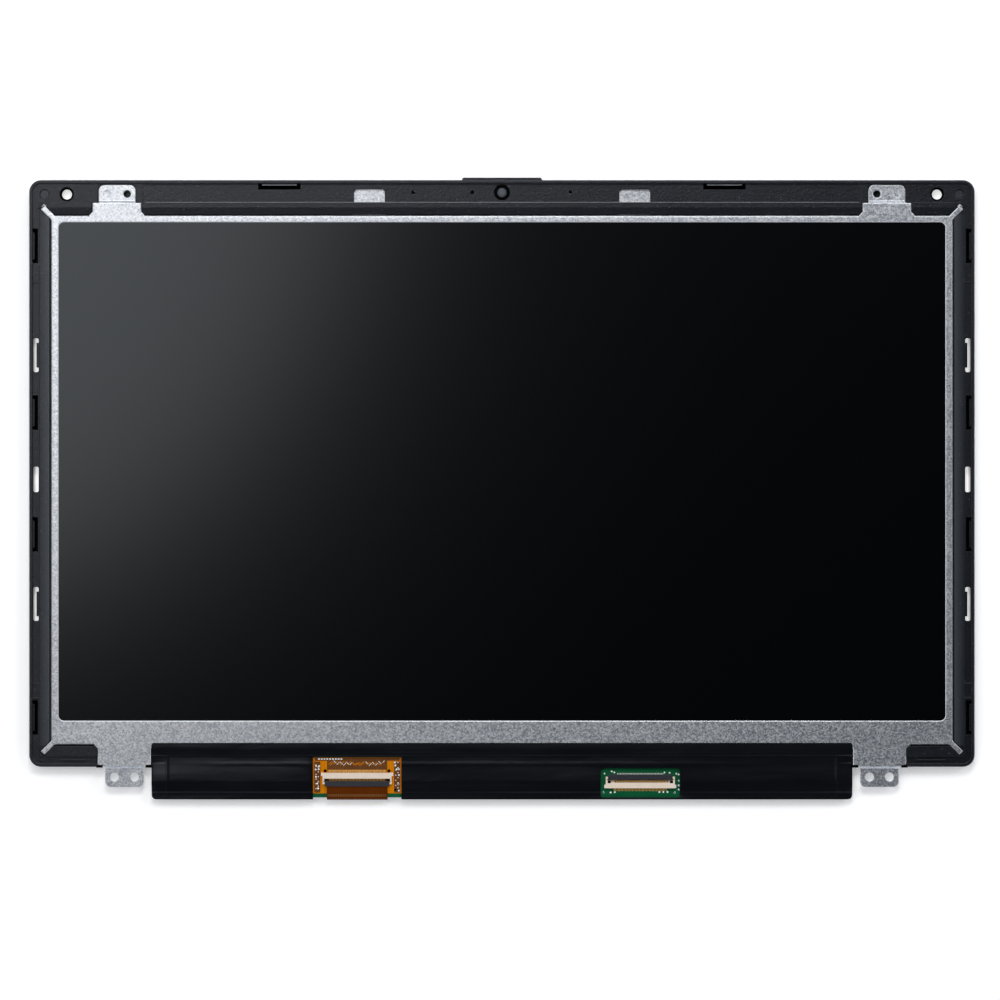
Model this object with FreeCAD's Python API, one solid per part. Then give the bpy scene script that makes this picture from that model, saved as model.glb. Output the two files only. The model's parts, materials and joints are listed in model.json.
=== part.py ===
import FreeCAD
import Part

import math
import os

# Laptop screen panel: a liquid-crystal module seated in its moulded frame, with camera, driver board and sockets.
# The panel lies on its back. X runs along the long side, Y points to the camera edge, Z points out of the display.
# The origin is the middle of the outline, on the plane that the back of the frame rests on. Lengths are in mm.

# Display opening and the steel bezel round it
opening_width = 314.7
opening_height = 176.9
opening_radius = 2.0
bezel_side = 2.85
bezel_top = 2.5
bezel_bottom = 8.65
sheet = 0.3                 # steel of the bezel and of the rear cover
bend_radius = 0.2           # inside radius of a fold in that steel
bezel_wall = 2.6            # depth of the bezel's folded edges
corner_relief = 1.6         # where a folded edge stops short of a corner
steel_gap = 0.1             # slack between pieces of the module

# Steel tabs of the bezel
tab_joggle = 0.7            # how far a tab lies below the bezel's face
joggle_run = 0.5
flare = 1.2                 # corner cut where a neck joins the bezel
tab_round = 2.1
tab_hole_pitch = 7.1        # across the two holes of a tab
top_tab_inset = 23.6        # from the bezel's side to the middle of the tab
top_tab_width = 13.1
top_neck_width = 17.2
top_neck_reach = 4.3
top_tab_reach = 10.8
top_hole_edge = 3.25        # from the tab's end to its holes
top_hole = 2.7
dimple = 2.5
dimple_depth = 0.15
low_tab_inset = 26.2
low_tab_width = 13.8
low_neck_width = 18.8
low_neck_reach = 7.6
low_tab_reach = 15.0
low_hole_edge = 3.7
low_hole = 2.8
fin_width = 1.8             # diagonal fins at the bezel's corners
fin_reach = 4.2
fin_drop = 1.4
tongue_offset = 47.1        # steel tongues that hook under the top rail
tongue_width = 11.8
tongue_reach = 9.8

# Moulded frame
frame_side = 7.5
frame_top = 12.4
frame_bottom = 7.7
frame_radius = 4.2
edge_chamfer = 0.4
rim_rise = 0.4              # rim above the bezel's face
rim_wall = 1.1
deck_depth = 0.8            # deck below the rim
deck_wall = 1.2
seat = 1.2                  # ledge that carries the module
seat_reach = 6.0
seat_corner = 2.4
module_gap = 0.3
rail_crown = 1.8            # flat part of the top rail's top
rail_fall = 0.35            # fall of a rail's sloped top
channel = 2.5               # deck between the rim and the side and bottom rails
top_deck = 6.8              # deck between the rim and the top rail
deck_field_end = 2.65       # shallow field of that deck, from the upper tab's end and from the rim
deck_field_edge = 0.5
deck_field_depth = 0.12
core_wall = 1.0             # walls and ribs between the hollows in the back
core_pitch = 45.0
shortest_core = 3.0
bump_width = 28.7           # finger lip on the camera edge
bump_rise = 1.0
bump_taper = 0.5
bump_height = 2.4
bump_lift = 0.8

# Holes, pockets and slots of the frame
screw_inset = 13.25         # from the frame's side to the screw hole
screw_line = 5.0            # from the camera edge to the holes in the corners
screw_hole = 4.1
screw_sink = 5.0
screw_sink_depth = 1.0
screw_boss = 4.2            # half width of the solid left round a screw hole
round_recess = 3.5
round_recess_inset = 5.4
round_recess_depth = 0.5
pilot_hole = 2.0
pilot_depth = 2.4
small_hole_sides = 12
latch_offset = 79.0         # latch slots in the top deck
latch_length = 15.0
latch_width = 2.2
catch_width = 0.7           # ledge on the rim that a latch snaps under
catch_sink = 0.5
catch_height = 1.1
catch_end = 1.3
pocket_floor = 0.8
window_width = 11.0         # windows that show the steel tongues
window_edge = 3.1
window_corner = 0.8
pocket_length = 12.2        # latch pockets in the side channels
pocket_width = 1.9
pocket_from_top = 23.3
pocket_from_bottom = 17.5
pocket_from_middle = 21.6
slot_inset = 1.4            # slots right through the side channels
slot_width = 1.9
slot_corner = 0.4
hook_slot_length = 12.0
hook_slot_above = 42.0
hook_slot_below = 46.3
tongue_rib = 0.8            # rib that leaves a hook slot in the form of a C
tongue_rib_end = 1.6
vent_slot_length = 9.0
vent_slot_below = 2.1
channel_rib = 0.5
channel_rib_height = 0.4
channel_ribs_from_top = (36.2,)
channel_ribs_from_bottom = (24.4, 29.5)
low_rib_length = 9.6
low_rib_inset = 10.6

# Stack of the display module, from the back
reflector = 0.2
light_guide = 0.6
diffuser = 0.15
prism = 0.15
sheet_slack = 0.05
ledge = 0.3                 # inner frame's ledge under the glass
rear_polariser = 0.2
array_glass = 0.4
colour_glass = 0.4
front_polariser = 0.2
inner_wall = 1.0
ledge_reach = 2.4
array_ledge = 3.6           # strip of array glass that the colour glass leaves bare
glass_setback = 2.2         # from the bezel's lower edge to the array glass
light_gap = 0.2
diode_depth = 0.8
diode_width = 3.0
diode_pitch = 19.0
diode_strip = 0.15
cover_wall = 1.8            # depth of the rear cover's folded edges
low_cover_wall = 0.9
pressing_border = 26.0      # pressed field of the rear cover
pressing_depth = 0.3
pressing_corner = 9.0

# Driver board under its black film
board_reach = 19.5          # from the bezel's lower edge to the end of the outline
board_thickness = 0.8
board_drop = 0.5            # board's face below the array glass
board_gap = 3.85            # from the bezel's lower edge to the board
board_edge = 0.87           # from the outline's end to the board
film = 0.15
film_margin = 5.5           # film past the ends of the board
film_room = 0.95            # space under the film for components
film_edge = 0.17
film_lip = 0.8              # film laid over the bezel
film_step = 1.8             # film stays at the bezel's height this far past its edge
film_slope = 3.6
film_droop = 0.5            # fall of the film towards its free edge
film_low = 2.6              # from the film's free edge to the foot and the top of that fall
film_fall = 6.2
film_corner = 1.6
film_back = 7.0
film_gap = 0.2
bond_inset = 26.9           # from the board's end to the outer driver films
bond_width = 36.0
bond_film = 0.1
bond_overlap = 1.6
bond_land = 1.8
bond_flat = 0.5
chip_length = 22.0
chip_width = 1.2
chip_height = 0.3
package_height = 0.6
controller_side = 8.0
controller_offset = 4.0
regulator_side = 5.0
regulator_offset = -11.0
package_line = 6.4          # from the board's inner edge to the packages
coil_side = 4.0
coil_offsets = (-17.2, 14.0)
chip_capacitor = (1.6, 0.8)
capacitor_rows = 2
capacitor_columns = 3
capacitor_pitch = 3.0
capacitor_inset = 6.9       # from the board's end to the first column

# Lock-over sockets for flat cables
socket_length = 24.5
socket_bar = 2.05           # bar across the contacts
socket_height = 1.3
socket_roof = 0.45
socket_floor = 0.3
arm_width = 0.7
arm_reach = 2.0
arm_height = 1.15
lock_clearance = 0.1
lock_back = 0.9             # from the bar to the lock
lock_depth = 1.9
lock_thickness = 0.45
lock_lift = 0.75
lock_bevel = 0.2
pivot_setback = 0.2
pivot_radius = 0.2
pivot_fit = 0.05
pivot_length = 0.4
contact_pitch = 0.5
contact_width = 0.2
contact_reach = 0.7
contact_beam = 0.2
contact_web = 0.4
contact_tail = 1.1
nail_width = 0.5
nail_length = 1.2
nail_height = 0.6
touch_contacts = 40
touch_inset = 67.5          # from the board's end to the middle of the socket
touch_line = 7.62           # from the outline's end to the front of the bar
video_contacts = 38
video_inset = 69.8
video_line = 6.25
touch_flex = 0.15
touch_flex_width = 30.6
touch_flex_length = 12.8
touch_flex_start = 4.4      # from the bezel's lower edge
touch_window_width = 31.4
touch_window_start = 4.1
video_window_width = 28.2
video_window_start = 8.1
video_window_end = 0.75      # film left between the window and the free edge
video_window_corner = 1.3
video_window_cut = 0.6
tail = 0.2
tail_width = 21.6
tail_entry = 1.9            # how far the lead goes in past the back of the lock
tail_lift = 0.35

# Camera strip behind the top deck
camera_line = 4.3           # from the camera edge to the lens
camera_hole = 5.7
camera_bay = (-38.5, 31.5)
camera_board_span = (-35.5, 28.5)
camera_board_width = 6.0
camera_board_thickness = 0.6
camera_depth = 1.9          # from the deck's underside to the board
camera_body = 6.2
camera_body_slack = 0.1
barrel = 5.4
barrel_sink = 0.25
lens = 3.3
lens_sink = 0.3
lens_edge = 0.5
lens_ledge = 0.35
lens_crown = 0.25
image_sensor = 3.4
image_sensor_height = 0.4
sensor_room = 0.15
pin_hole = 1.4
microphone_offsets = (-31.5, 24.4)
microphone = (3.2, 2.4)
microphone_height = 0.9
indicator_offset = -10.5
indicator = (1.6, 1.0)
indicator_height = 0.5
camera_rib = 1.2            # ribs that the camera board is taped to
camera_rib_offsets = (-21.0, 18.0)
camera_plug_offset = 10.0
camera_plug = (7.0, 3.2)
camera_plug_height = 1.2

# Places worked out from the sizes above
outline_height = bump_rise + frame_top + bezel_top + opening_height + bezel_bottom + board_reach
frame_y1 = outline_height / 2 - bump_rise
bezel_y1 = frame_y1 - frame_top
opening_y1 = bezel_y1 - bezel_top
opening_y0 = opening_y1 - opening_height
bezel_y0 = opening_y0 - bezel_bottom
frame_y0 = bezel_y0 - frame_bottom
outline_y0 = bezel_y0 - board_reach
middle_y = (frame_y0 + frame_y1) / 2
opening_x = opening_width / 2
bezel_x = opening_x + bezel_side
frame_x = bezel_x + frame_side
pocket_x = bezel_x + module_gap
pocket_y0 = bezel_y0 - module_gap
pocket_y1 = bezel_y1 + module_gap
rail_x = frame_x - rim_wall - channel
rail_y0 = frame_y0 + rim_wall + channel
rail_y1 = frame_y1 - rim_wall - top_deck
top_tab_x = bezel_x - top_tab_inset
low_tab_x = bezel_x - low_tab_inset
top_tab_y = bezel_y1 + top_tab_reach
low_tab_y = bezel_y0 - low_tab_reach
screw_x = frame_x - screw_inset
screw_y = frame_y1 - screw_line

# Heights of the stack
reflector_z = seat + sheet
guide_z = reflector_z + reflector
diffuser_z = guide_z + light_guide
lower_prism_z = diffuser_z + diffuser
upper_prism_z = lower_prism_z + prism
ledge_z = upper_prism_z + prism + sheet_slack
rear_polariser_z = ledge_z + ledge
array_z = rear_polariser_z + rear_polariser
colour_z = array_z + array_glass
front_polariser_z = colour_z + colour_glass
bezel_z0 = front_polariser_z + front_polariser
bezel_z1 = bezel_z0 + sheet
tab_z = bezel_z0 - tab_joggle
frame_z = bezel_z1 + rim_rise
deck_z = frame_z - deck_depth
deck_under = deck_z - deck_wall
board_z1 = colour_z - board_drop
board_z0 = board_z1 - board_thickness
film_z = board_z1 + film_room
tongue_z1 = deck_under - steel_gap
camera_board_z1 = deck_under - camera_depth
camera_y = frame_y1 - camera_line

# Rings of the module, from the bezel inwards
cover_x = bezel_x - sheet - steel_gap
cover_y1 = bezel_y1 - sheet - steel_gap
cover_y0 = bezel_y0 + sheet + steel_gap
inner_x = cover_x - sheet - bend_radius
inner_y1 = cover_y1 - sheet - bend_radius
inner_y0 = cover_y0 + sheet + bend_radius
glass_x = inner_x - inner_wall - steel_gap
glass_y1 = inner_y1 - inner_wall - steel_gap
array_y0 = bezel_y0 + glass_setback
colour_y0 = array_y0 + array_ledge
guide_y0 = colour_y0 + light_gap + diode_depth
diode_y0 = guide_y0 - light_gap - diode_depth
diode_strip_y0 = inner_y0 + inner_wall + steel_gap
board_y0 = outline_y0 + board_edge
board_y1 = bezel_y0 - board_gap
film_x = low_tab_x - low_neck_width / 2 - film_gap
film_y0 = outline_y0 + film_edge
board_x = film_x - film_margin
bond_x = board_x - bond_inset
touch_centre = touch_inset - board_x
video_centre = board_x - video_inset
touch_y = outline_y0 + touch_line
video_y = outline_y0 + video_line
touch_z = board_z1 + touch_flex

past = 1.0                  # how far a cut runs past the face that it leaves
tiny = 1e-6
section_across_x = FreeCAD.Rotation(FreeCAD.Vector(1, 1, 1), 120)
section_across_y = FreeCAD.Rotation(FreeCAD.Vector(1, 0, 0), 90)


def point(x, y, z=0.0):
    return FreeCAD.Vector(x, y, z)


def both(half):
    return (-half, half)


def span(middle, width):
    return (middle - width / 2, middle + width / 2)


def block(x, y, z):
    """Box between the pairs x, y and z."""
    return Part.makeBox(x[1] - x[0], y[1] - y[0], z[1] - z[0], point(x[0], y[0], z[0]))


def upright_edges(shape, wanted=lambda x, y: True):
    """Edges that run along Z where wanted(x, y) holds."""
    found = []
    for edge in shape.Edges:
        low, high = edge.Vertexes[0].Point, edge.Vertexes[-1].Point
        if abs(low.x - high.x) + abs(low.y - high.y) < tiny < edge.Length and wanted(low.x, low.y):
            found.append(edge)
    return found


def plate(x, y, z, radius):
    """Box with its upright corners rounded."""
    box = block(x, y, z)
    return box.makeFillet(radius, upright_edges(box))


def cut_corner_plate(x, y, z, cut):
    """Box with its upright corners cut off."""
    box = block(x, y, z)
    return box.makeChamfer(cut, upright_edges(box))


def prism_of(corners, z):
    """Straight-sided solid over a flat outline, between the pair z."""
    outline = Part.makePolygon([point(x, y, z[0]) for x, y in corners + corners[:1]])
    return Part.Face(outline).extrude(point(0, 0, z[1] - z[0]))


def disc(diameter, x, y, z):
    return Part.makeCylinder(diameter / 2, z[1] - z[0], point(x, y, z[0]))


def small_hole(diameter, x, y, z):
    """Straight hole with a few flat sides in place of a round wall."""
    turn = 2 * math.pi / small_hole_sides
    corners = []
    for i in range(small_hole_sides):
        corners.append((x + diameter / 2 * math.cos(i * turn), y + diameter / 2 * math.sin(i * turn)))
    return prism_of(corners, z)


def mirrored(shape):
    return shape.mirror(point(0, 0, 0), point(1, 0, 0))


def with_mirror(shapes):
    return shapes + [mirrored(shape) for shape in shapes]


def bent_run(corners, radii, round_bends):
    """Edges along corners, with each inner corner rounded or cut to its radius, or sharp where that is 0."""
    edges = []
    here = corners[0]
    for before, corner, after, radius in zip(corners, corners[1:], corners[2:], radii):
        if radius == 0:
            edges.append(Part.makeLine(here, corner))
            here = corner
            continue
        back = (before - corner).normalize()
        ahead = (after - corner).normalize()
        half = back.getAngle(ahead) / 2
        start = corner + back * (radius / math.tan(half))
        stop = corner + ahead * (radius / math.tan(half))
        if here.distanceToPoint(start) > tiny:
            edges.append(Part.makeLine(here, start))
        if round_bends:
            crown = corner + (back + ahead).normalize() * (radius / math.sin(half) - radius)
            edges.append(Part.Arc(start, crown, stop).toShape())
        else:
            edges.append(Part.makeLine(start, stop))
        here = stop
    edges.append(Part.makeLine(here, corners[-1]))
    return edges


def folded(route, thickness, radius=0.0, round_bends=False):
    """Section of a folded sheet: one face follows route and the thickness lies to the left of it."""
    outside = radius + thickness if radius else 0.0
    near = [point(u, w) for u, w in route]
    lefts = []
    for here, there in zip(near, near[1:]):
        run = (there - here).normalize()
        lefts.append(point(-run.y, run.x))
    far = [near[0] + lefts[0] * thickness]
    near_radii = []
    far_radii = []
    for corner, first, second in zip(near[1:], lefts, lefts[1:]):
        far.append(corner + (first + second) * (thickness / (1 + first.dot(second))))
        turns_left = first.cross(second).z > 0
        near_radii.append(outside if turns_left else radius)
        far_radii.append(radius if turns_left else outside)
    far.append(near[-1] + lefts[-1] * thickness)
    edges = bent_run(near, near_radii, round_bends)
    edges.append(Part.makeLine(near[-1], far[-1]))
    edges += bent_run(far[::-1], far_radii[::-1], round_bends)
    edges.append(Part.makeLine(far[0], near[0]))
    return Part.Face(Part.Wire(edges))


def section_of(corners):
    return Part.Face(Part.makePolygon([point(u, w) for u, w in corners + corners[:1]]))


def along_x(section, x):
    """Solid of a section drawn in Y and Z, over the pair x."""
    solid = section.extrude(point(0, 0, x[1] - x[0]))
    solid.Placement = FreeCAD.Placement(point(x[0], 0, 0), section_across_x)
    return solid


def along_y(section, y):
    """Solid of a section drawn in X and Z, over the pair y."""
    solid = section.extrude(point(0, 0, y[1] - y[0]))
    solid.Placement = FreeCAD.Placement(point(0, y[1], 0), section_across_y)
    return solid


def turned(shape, degrees, place):
    """Copy of a shape, turned about Z and then set at a place."""
    copy = shape.copy()
    copy.Placement = FreeCAD.Placement(place, FreeCAD.Rotation(point(0, 0, 1), degrees)).multiply(copy.Placement)
    return copy


def bezel_corners():
    """Each corner of the bezel, with the angle of the diagonal that leaves it."""
    return [
        (point(bezel_x, bezel_y1), 45),
        (point(-bezel_x, bezel_y1), 135),
        (point(-bezel_x, bezel_y0), 225),
        (point(bezel_x, bezel_y0), 315),
    ]


def neck_outline(width, reach, gap, z):
    """Flared neck of a tab, on Y = 0 and pointing to +Y, grown by gap."""
    half = width / 2 + gap
    foot = half + flare
    corners = [(foot, -past), (foot, gap), (half, flare + gap), (half, reach + gap)]
    return prism_of(corners + [(-x, y) for x, y in corners[::-1]], z)


def tab_outline(width, start, stop, gap, z):
    """End of a tab, pointing to +Y, grown by gap and rounded at its free corners."""
    solid = block(both(width / 2 + gap), (start - past, stop + gap), z)
    free = upright_edges(solid, lambda x, y: y > start)
    return solid.makeFillet(tab_round + gap, free)


def bezel_tab(neck_width, neck_reach, width, reach):
    """Tab of the bezel on Y = 0: a flat neck, a joggle and a lower end."""
    neck = neck_outline(neck_width, neck_reach, 0, (bezel_z0, bezel_z1))
    route = [
        (neck_reach - past, bezel_z0),
        (neck_reach, bezel_z0),
        (neck_reach + joggle_run, tab_z),
        (reach, tab_z),
    ]
    end = along_x(folded(route, sheet, bend_radius), both(width / 2))
    end = end.common(tab_outline(width, neck_reach, reach, 0, (tab_z - past, bezel_z1 + past)))
    return neck.fuse(end)


def top_tab():
    tab = bezel_tab(top_neck_width, top_neck_reach, top_tab_width, top_tab_reach)
    hole_y = top_tab_reach - top_hole_edge
    hole = disc(top_hole, -tab_hole_pitch / 2, hole_y, (tab_z - past, bezel_z1))
    sink = disc(dimple, tab_hole_pitch / 2, hole_y, (tab_z + sheet - dimple_depth, bezel_z1))
    return tab.cut([hole, sink])


def low_tab():
    tab = bezel_tab(low_neck_width, low_neck_reach, low_tab_width, low_tab_reach)
    hole_y = low_tab_reach - low_hole_edge
    holes = [disc(low_hole, x, hole_y, (tab_z - past, bezel_z1)) for x in both(tab_hole_pitch / 2)]
    return tab.cut(holes).mirror(point(0, 0, 0), point(0, 1, 0))


def bezel_edges():
    """Folded edges of the bezel, with openings at the tabs, the corners and the driver films."""
    fold = sheet + bend_radius
    low_z = bezel_z1 - bezel_wall
    side = folded([(bezel_x - fold - past, bezel_z0), (bezel_x - sheet, bezel_z0), (bezel_x - sheet, low_z)],
                  sheet, bend_radius)
    top = folded([(bezel_y1 - fold - past, bezel_z0), (bezel_y1 - sheet, bezel_z0), (bezel_y1 - sheet, low_z)],
                 sheet, bend_radius)
    low = folded([(bezel_y0 + sheet, low_z), (bezel_y0 + sheet, bezel_z0), (bezel_y0 + fold + past, bezel_z0)],
                 sheet, bend_radius)
    end_x = bezel_x - corner_relief
    top_foot = top_neck_width / 2 + flare + bend_radius
    low_foot = low_neck_width / 2 + flare + bend_radius
    edges = with_mirror([
        along_y(side, (bezel_y0 + corner_relief, bezel_y1 - corner_relief)),
        along_x(top, (top_tab_x + top_foot, end_x)),
        along_x(low, (low_tab_x + low_foot, end_x)),
    ])
    edges.append(along_x(top, both(top_tab_x - top_foot)))
    edges.append(block(both(low_tab_x), (bezel_y0, bezel_y0 + fold), (bezel_z0, bezel_z1)))
    return edges


def hook_tongue():
    """Steel tongue that leaves the bezel's top edge below its face."""
    solid = block(span(tongue_offset, tongue_width), (bezel_y1 - sheet, bezel_y1 + tongue_reach),
                  (tongue_z1 - sheet, tongue_z1))
    free = upright_edges(solid, lambda x, y: y > bezel_y1)
    return solid.makeChamfer(window_corner, free)


def corner_fin():
    """Diagonal fin on the X axis, with its end turned down."""
    route = [(-bezel_side, bezel_z0), (fin_reach - sheet, bezel_z0), (fin_reach - sheet, bezel_z0 - fin_drop)]
    return along_y(folded(route, sheet, bend_radius), both(fin_width / 2))


def front_bezel():
    fold = sheet + bend_radius
    face = block(both(bezel_x - fold), (bezel_y0 + fold, bezel_y1 - fold), (bezel_z0, bezel_z1))
    pieces = bezel_edges()
    pieces += with_mirror([
        turned(top_tab(), 0, point(top_tab_x, bezel_y1)),
        turned(low_tab(), 0, point(low_tab_x, bezel_y0)),
        hook_tongue(),
    ])
    pieces += [turned(corner_fin(), angle, place) for place, angle in bezel_corners()]
    opening = plate(both(opening_x), (opening_y0, opening_y1), (bezel_z0 - past, bezel_z1 + past), opening_radius)
    return face.fuse(pieces).cut(opening).removeSplitter()


def hollow_spans(start, stop, solids):
    """Spans left hollow between the solid stretches, divided by ribs no further apart than the pitch."""
    spans = []
    for low, high in sorted(solids) + [(stop, stop)]:
        length = low - start
        if length > shortest_core:
            count = math.ceil(length / core_pitch)
            step = (length + core_wall) / count
            spans += [(start + i * step, start + (i + 1) * step - core_wall) for i in range(count)]
        start = max(start, high)
    return spans


def side_pockets():
    """Middle of each latch pocket in a side channel."""
    return [
        frame_y1 - pocket_from_top,
        middle_y + pocket_from_middle,
        middle_y - pocket_from_middle,
        frame_y0 + pocket_from_bottom,
    ]


def top_hollows():
    """Hollows behind the top deck and rail: the camera bay, the tongues' way and plain cores."""
    deep = (pocket_y1 + core_wall, frame_y1 - rim_wall)
    latch = latch_length + 2 * core_wall
    tongue = tongue_width + 2 * module_gap
    kept = [span(side * place, width) for side in (-1, 1) for place, width in (
        (screw_x, 2 * screw_boss),
        (top_tab_x, top_neck_width + 2 * core_wall),
        (latch_offset, latch),
        (tongue_offset, tongue + 2 * core_wall),
    )]
    kept.append((camera_bay[0] - core_wall, camera_bay[1] + core_wall))
    end = frame_x - frame_radius
    spans = hollow_spans(-end, end, kept)
    spans += [camera_bay, span(tongue_offset, tongue), span(-tongue_offset, tongue)]
    return [block(x, deep, (-past, deck_under)) for x in spans]


def side_hollows():
    across = (pocket_x + core_wall, frame_x - rim_wall)
    kept = [span(y, pocket_length + 2 * core_wall) for y in side_pockets()]
    spans = hollow_spans(frame_y0 + 2 * frame_radius, pocket_y1, kept)
    return with_mirror([block(across, y, (-past, deck_under)) for y in spans])


def latch_cut(x, y, catch_x, catch_y):
    """Blind latch pocket with a catch ledge left standing on the rim's side."""
    deep = block(x, y, (pocket_floor, deck_z + past))
    catch_z = deck_z - catch_sink
    return deep.cut(block(catch_x, catch_y, (catch_z - catch_height, catch_z)))


def latch_cuts():
    rim_x = frame_x - rim_wall
    rim_y = frame_y1 - rim_wall
    cuts = []
    for middle in side_pockets():
        length = span(middle, pocket_length)
        ledge_y = (length[0] + catch_end, length[1] - catch_end)
        cuts.append(latch_cut((rim_x - pocket_width, rim_x), length, (rim_x - catch_width, rim_x), ledge_y))
    length = span(latch_offset, latch_length)
    ledge_x = (length[0] + catch_end, length[1] - catch_end)
    cuts.append(latch_cut(length, (rim_y - latch_width, rim_y), ledge_x, (rim_y - catch_width, rim_y)))
    return with_mirror(cuts)


def slot_cuts():
    """Slots right through the side channels, two of them in the form of a C."""
    outer = frame_x - slot_inset
    across = (outer - slot_width, outer)
    through = (-past, deck_z + past)
    vent = cut_corner_plate(across, span(middle_y - vent_slot_below, vent_slot_length), through, slot_corner)
    cuts = [vent]
    for middle in (middle_y + hook_slot_above, middle_y - hook_slot_below):
        length = span(middle, hook_slot_length)
        rib = block((across[0] - past, across[0] + tongue_rib),
                    (length[0] + tongue_rib_end, length[1] - tongue_rib_end), (-2 * past, deck_z + 2 * past))
        cuts.append(cut_corner_plate(across, length, through, slot_corner).cut(rib))
    return with_mirror(cuts)


def top_deck_cuts():
    """Shallow field, screw holes, round recesses, pilot holes and tongue windows of the top deck."""
    above = deck_z + past
    pilot_x = top_tab_x - tab_hole_pitch / 2
    pilot_y = top_tab_y - top_hole_edge
    tongue_z = (tongue_z1 - sheet - steel_gap, deck_under)
    window = block(span(tongue_offset, window_width), (rail_y1, frame_y1 - window_edge), (0, above))
    free = upright_edges(window, lambda x, y: y > rail_y1 + tiny)
    field_x = top_tab_x - top_tab_width / 2 - deck_field_end
    field = block(both(field_x), (rail_y1, frame_y1 - rim_wall - deck_field_edge), (deck_z - deck_field_depth, above))
    return [field] + with_mirror([
        disc(screw_hole, screw_x, screw_y, (-past, above)),
        disc(screw_sink, screw_x, screw_y, (deck_z - screw_sink_depth, above)),
        disc(round_recess, frame_x - round_recess_inset, screw_y, (deck_z - round_recess_depth, above)),
        small_hole(pilot_hole, pilot_x, pilot_y, (tab_z - pilot_depth, above)),
        window.makeChamfer(window_corner, free),
        block(span(tongue_offset, tongue_width + 2 * module_gap), (bezel_y1, rail_y1), tongue_z),
    ])


def camera_cuts():
    through = (0, deck_z + past)
    holes = [small_hole(pin_hole, x, camera_y, through) for x in microphone_offsets + (indicator_offset,)]
    return holes + [disc(camera_hole, 0, camera_y, through)]


def tab_cuts():
    """Room in the deck and rails for the bezel's tabs, their necks and the corner fins."""
    above = frame_z + past
    neck = neck_outline(top_neck_width, top_neck_reach, module_gap, (bezel_z0 - steel_gap, above))
    end = tab_outline(top_tab_width, top_neck_reach, top_tab_reach, module_gap, (tab_z, above))
    low_neck = neck_outline(low_neck_width, low_neck_reach, module_gap, (bezel_z0 - steel_gap, above))
    low_neck = low_neck.mirror(point(0, 0, 0), point(0, 1, 0))
    place = point(top_tab_x, bezel_y1)
    cuts = with_mirror([turned(neck, 0, place), turned(end, 0, place)])
    cuts += with_mirror([turned(low_neck, 0, point(low_tab_x, bezel_y0))])
    fin = block((-past, fin_reach), both(fin_width / 2 + module_gap), (bezel_z0 - steel_gap, above))
    well = block((fin_reach - 2 * sheet - module_gap, fin_reach + module_gap), both(fin_width / 2 + module_gap),
                 (bezel_z0 - fin_drop - module_gap, above))
    for corner, angle in bezel_corners():
        cuts += [turned(fin, angle, corner), turned(well, angle, corner)]
    return cuts


def rail_slopes():
    """What is taken off the rails' tops: the side ones fall outwards, the top one falls to the module."""
    side = section_of([(pocket_x, frame_z), (rail_x, frame_z), (rail_x, frame_z - rail_fall)])
    top = section_of([(rail_y1 - rail_crown, frame_z), (pocket_y1, frame_z), (pocket_y1, frame_z - rail_fall)])
    return with_mirror([along_y(side, (rail_y0, rail_y1))]) + [along_x(top, both(pocket_x))]


def channel_details():
    """Cross ribs of the side channels and the short ribs of the bottom channel."""
    height = (deck_z - core_wall, deck_z + channel_rib_height)
    places = [frame_y1 - y for y in channel_ribs_from_top] + [frame_y0 + y for y in channel_ribs_from_bottom]
    ribs = [block((rail_x, frame_x - rim_wall), span(y, channel_rib), height) for y in places]
    start = frame_x - low_rib_inset
    ribs.append(block((start - low_rib_length, start), span(frame_y0 + rim_wall + channel / 2, channel_rib), height))
    return with_mirror(ribs)


def camera_ribs():
    """Ribs under the deck that carry the camera board."""
    height = (camera_board_z1, deck_under + deck_wall / 2)
    return [block(span(x, camera_rib), span(camera_y, camera_board_width), height) for x in camera_rib_offsets]


def finger_lip():
    half = bump_width / 2
    corners = [(half, frame_y1 - rim_wall / 2), (half, frame_y1), (half - bump_taper, frame_y1 + bump_rise)]
    return prism_of(corners + [(-x, y) for x, y in corners[::-1]], (bump_lift, bump_lift + bump_height))


def middle_frame():
    body = plate(both(frame_x), (frame_y0, frame_y1), (0, frame_z), frame_radius)
    outer = [edge for face in body.Faces if abs(face.normalAt(0, 0).z) > 1 - tiny for edge in face.Edges]
    body = body.makeChamfer(edge_chamfer, outer).fuse(finger_lip())
    above = frame_z + past
    deck = plate(both(frame_x - rim_wall), (frame_y0 + rim_wall, frame_y1 - rim_wall), (deck_z, above),
                 frame_radius - rim_wall)
    deck = deck.cut(block(both(rail_x), (rail_y0, rail_y1), (0, above + past)))
    pocket = block(both(pocket_x), (pocket_y0, pocket_y1), (seat, above))
    back_opening = cut_corner_plate(both(bezel_x - seat_reach), (bezel_y0 + seat_reach, bezel_y1 - seat_reach),
                         (-past, seat + past), seat_corner)
    notch_x = low_tab_x + low_neck_width / 2 + module_gap
    notch = block(both(notch_x), (frame_y0 - past, pocket_y0 + past), (seat, above))
    body = body.cut([deck, pocket, back_opening, notch] + rail_slopes())
    body = body.cut(top_hollows() + side_hollows())
    body = body.fuse(channel_details() + camera_ribs())
    body = body.cut(latch_cuts() + slot_cuts() + top_deck_cuts() + camera_cuts() + tab_cuts())
    return body.removeSplitter()


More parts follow.
